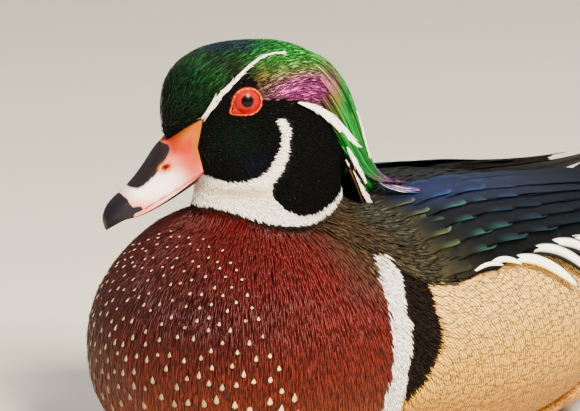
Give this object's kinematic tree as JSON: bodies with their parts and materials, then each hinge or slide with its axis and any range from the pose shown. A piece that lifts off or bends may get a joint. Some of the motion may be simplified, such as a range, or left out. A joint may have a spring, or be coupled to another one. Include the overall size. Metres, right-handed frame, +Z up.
{
  "type": "wood duck",
  "caption": "Life-size still model of a wood duck drake sitting on its belly, head turned a little to its right, wings folded and feet tucked under.",
  "frame": {"origin": "middle of the belly, on the floor that it rests on", "axes": "+X forward to the breast, +Y to the duck's left, +Z up"},
  "size_m": [0.3427, 0.1522, 0.1582],
  "materials": {
    "breast_feathers": "satin",
    "throat_feathers": "matte",
    "crown_feathers": "satin",
    "bill_horn": "satin",
    "nail_horn": "gloss",
    "lower_bill_horn": "satin",
    "eye_red": "gloss",
    "lid_skin": "satin",
    "wing_feathers": "satin",
    "flank_feathers": "matte",
    "tail_feathers": "satin",
    "leg_skin": "satin"
  },
  "bodies": {
    "root": {"torso": "breast_feathers", "neck": "throat_feathers", "head": "crown_feathers", "bill_upper": "bill_horn", "bill_nail": "nail_horn", "bill_lower": "lower_bill_horn", "eye_left": "eye_red", "eye_right": "eye_red", "lid_left": "lid_skin", "lid_right": "lid_skin", "wing_left": "wing_feathers", "wing_right": "wing_feathers", "flank_left": "flank_feathers", "flank_right": "flank_feathers", "tail": "tail_feathers", "leg_left": "leg_skin", "leg_right": "leg_skin", "foot_left": "leg_skin", "foot_right": "leg_skin"}
  },
  "joints": []
}
